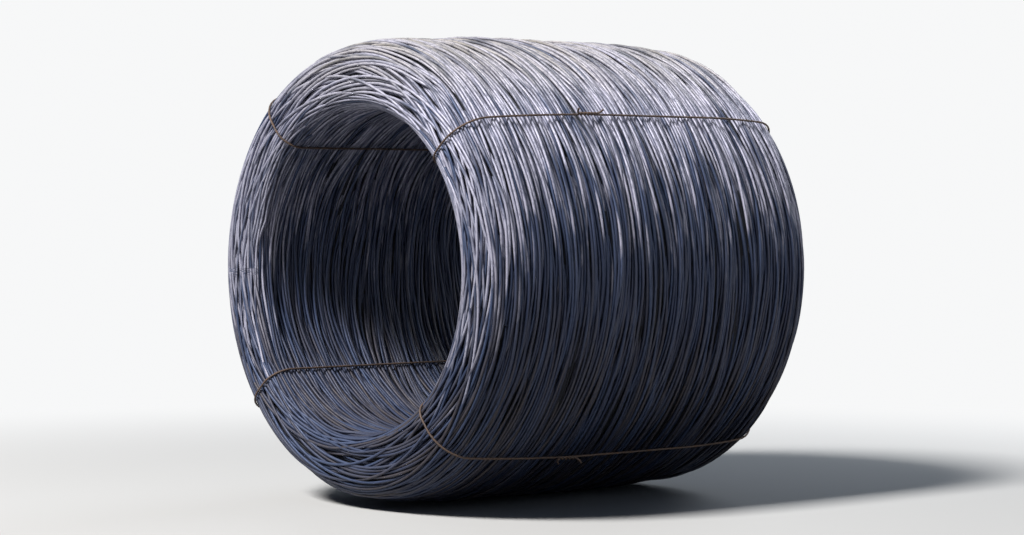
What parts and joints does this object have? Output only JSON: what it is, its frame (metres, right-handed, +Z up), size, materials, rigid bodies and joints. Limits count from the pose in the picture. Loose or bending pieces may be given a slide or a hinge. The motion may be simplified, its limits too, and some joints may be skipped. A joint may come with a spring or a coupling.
{
  "type": "coil of wire rod",
  "caption": "Coil of hot-rolled steel wire rod lying on its side, a thick barrel-shaped ring of turns with an open eye, held by twisted wire ties.",
  "frame": {"origin": "centre of the coil's eye, on its axis, halfway along its length", "axes": "+X along the coil's axis towards its thicker end, +Z up as the coil lies on its side"},
  "size_m": [1.1508, 1.26, 1.2596],
  "materials": {
    "rod": "dark blue-grey mill scale, satin",
    "tie_wire": "annealed wire with light brown rust, matt"
  },
  "bodies": {
    "root": {"rod_coil": "rod", "tie_1": "tie_wire", "tie_2": "tie_wire", "tie_3": "tie_wire", "tie_4": "tie_wire"}
  },
  "joints": []
}
